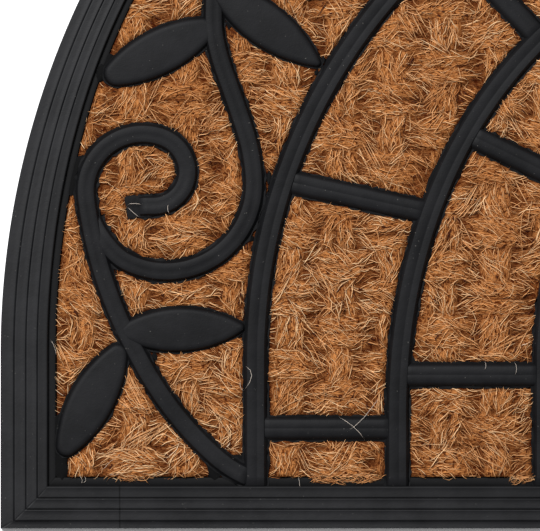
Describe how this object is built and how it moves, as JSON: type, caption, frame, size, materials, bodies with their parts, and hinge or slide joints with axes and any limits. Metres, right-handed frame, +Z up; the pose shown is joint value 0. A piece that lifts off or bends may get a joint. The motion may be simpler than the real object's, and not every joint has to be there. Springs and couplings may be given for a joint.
{
  "type": "half round doormat",
  "caption": "Half round doormat: a moulded rubber tray with a ribbed border and a raised scroll and arch tracery over a woven coir mat.",
  "frame": {"origin": "underside of the mat, at the centre of its bounding box", "axes": "+Z up out of the tread face, +X along the straight edge, -Y towards the straight edge and +Y towards the crown of the half circle"},
  "size_m": [0.75, 0.45, 0.0089],
  "materials": {
    "rubber": "moulded black rubber, satin to matt, with fine ridges",
    "coir": "natural golden brown coconut fibre, loosely woven and matt"
  },
  "bodies": {
    "root": {"rubber_moulding": "rubber", "coir_mat": "coir"}
  },
  "joints": []
}
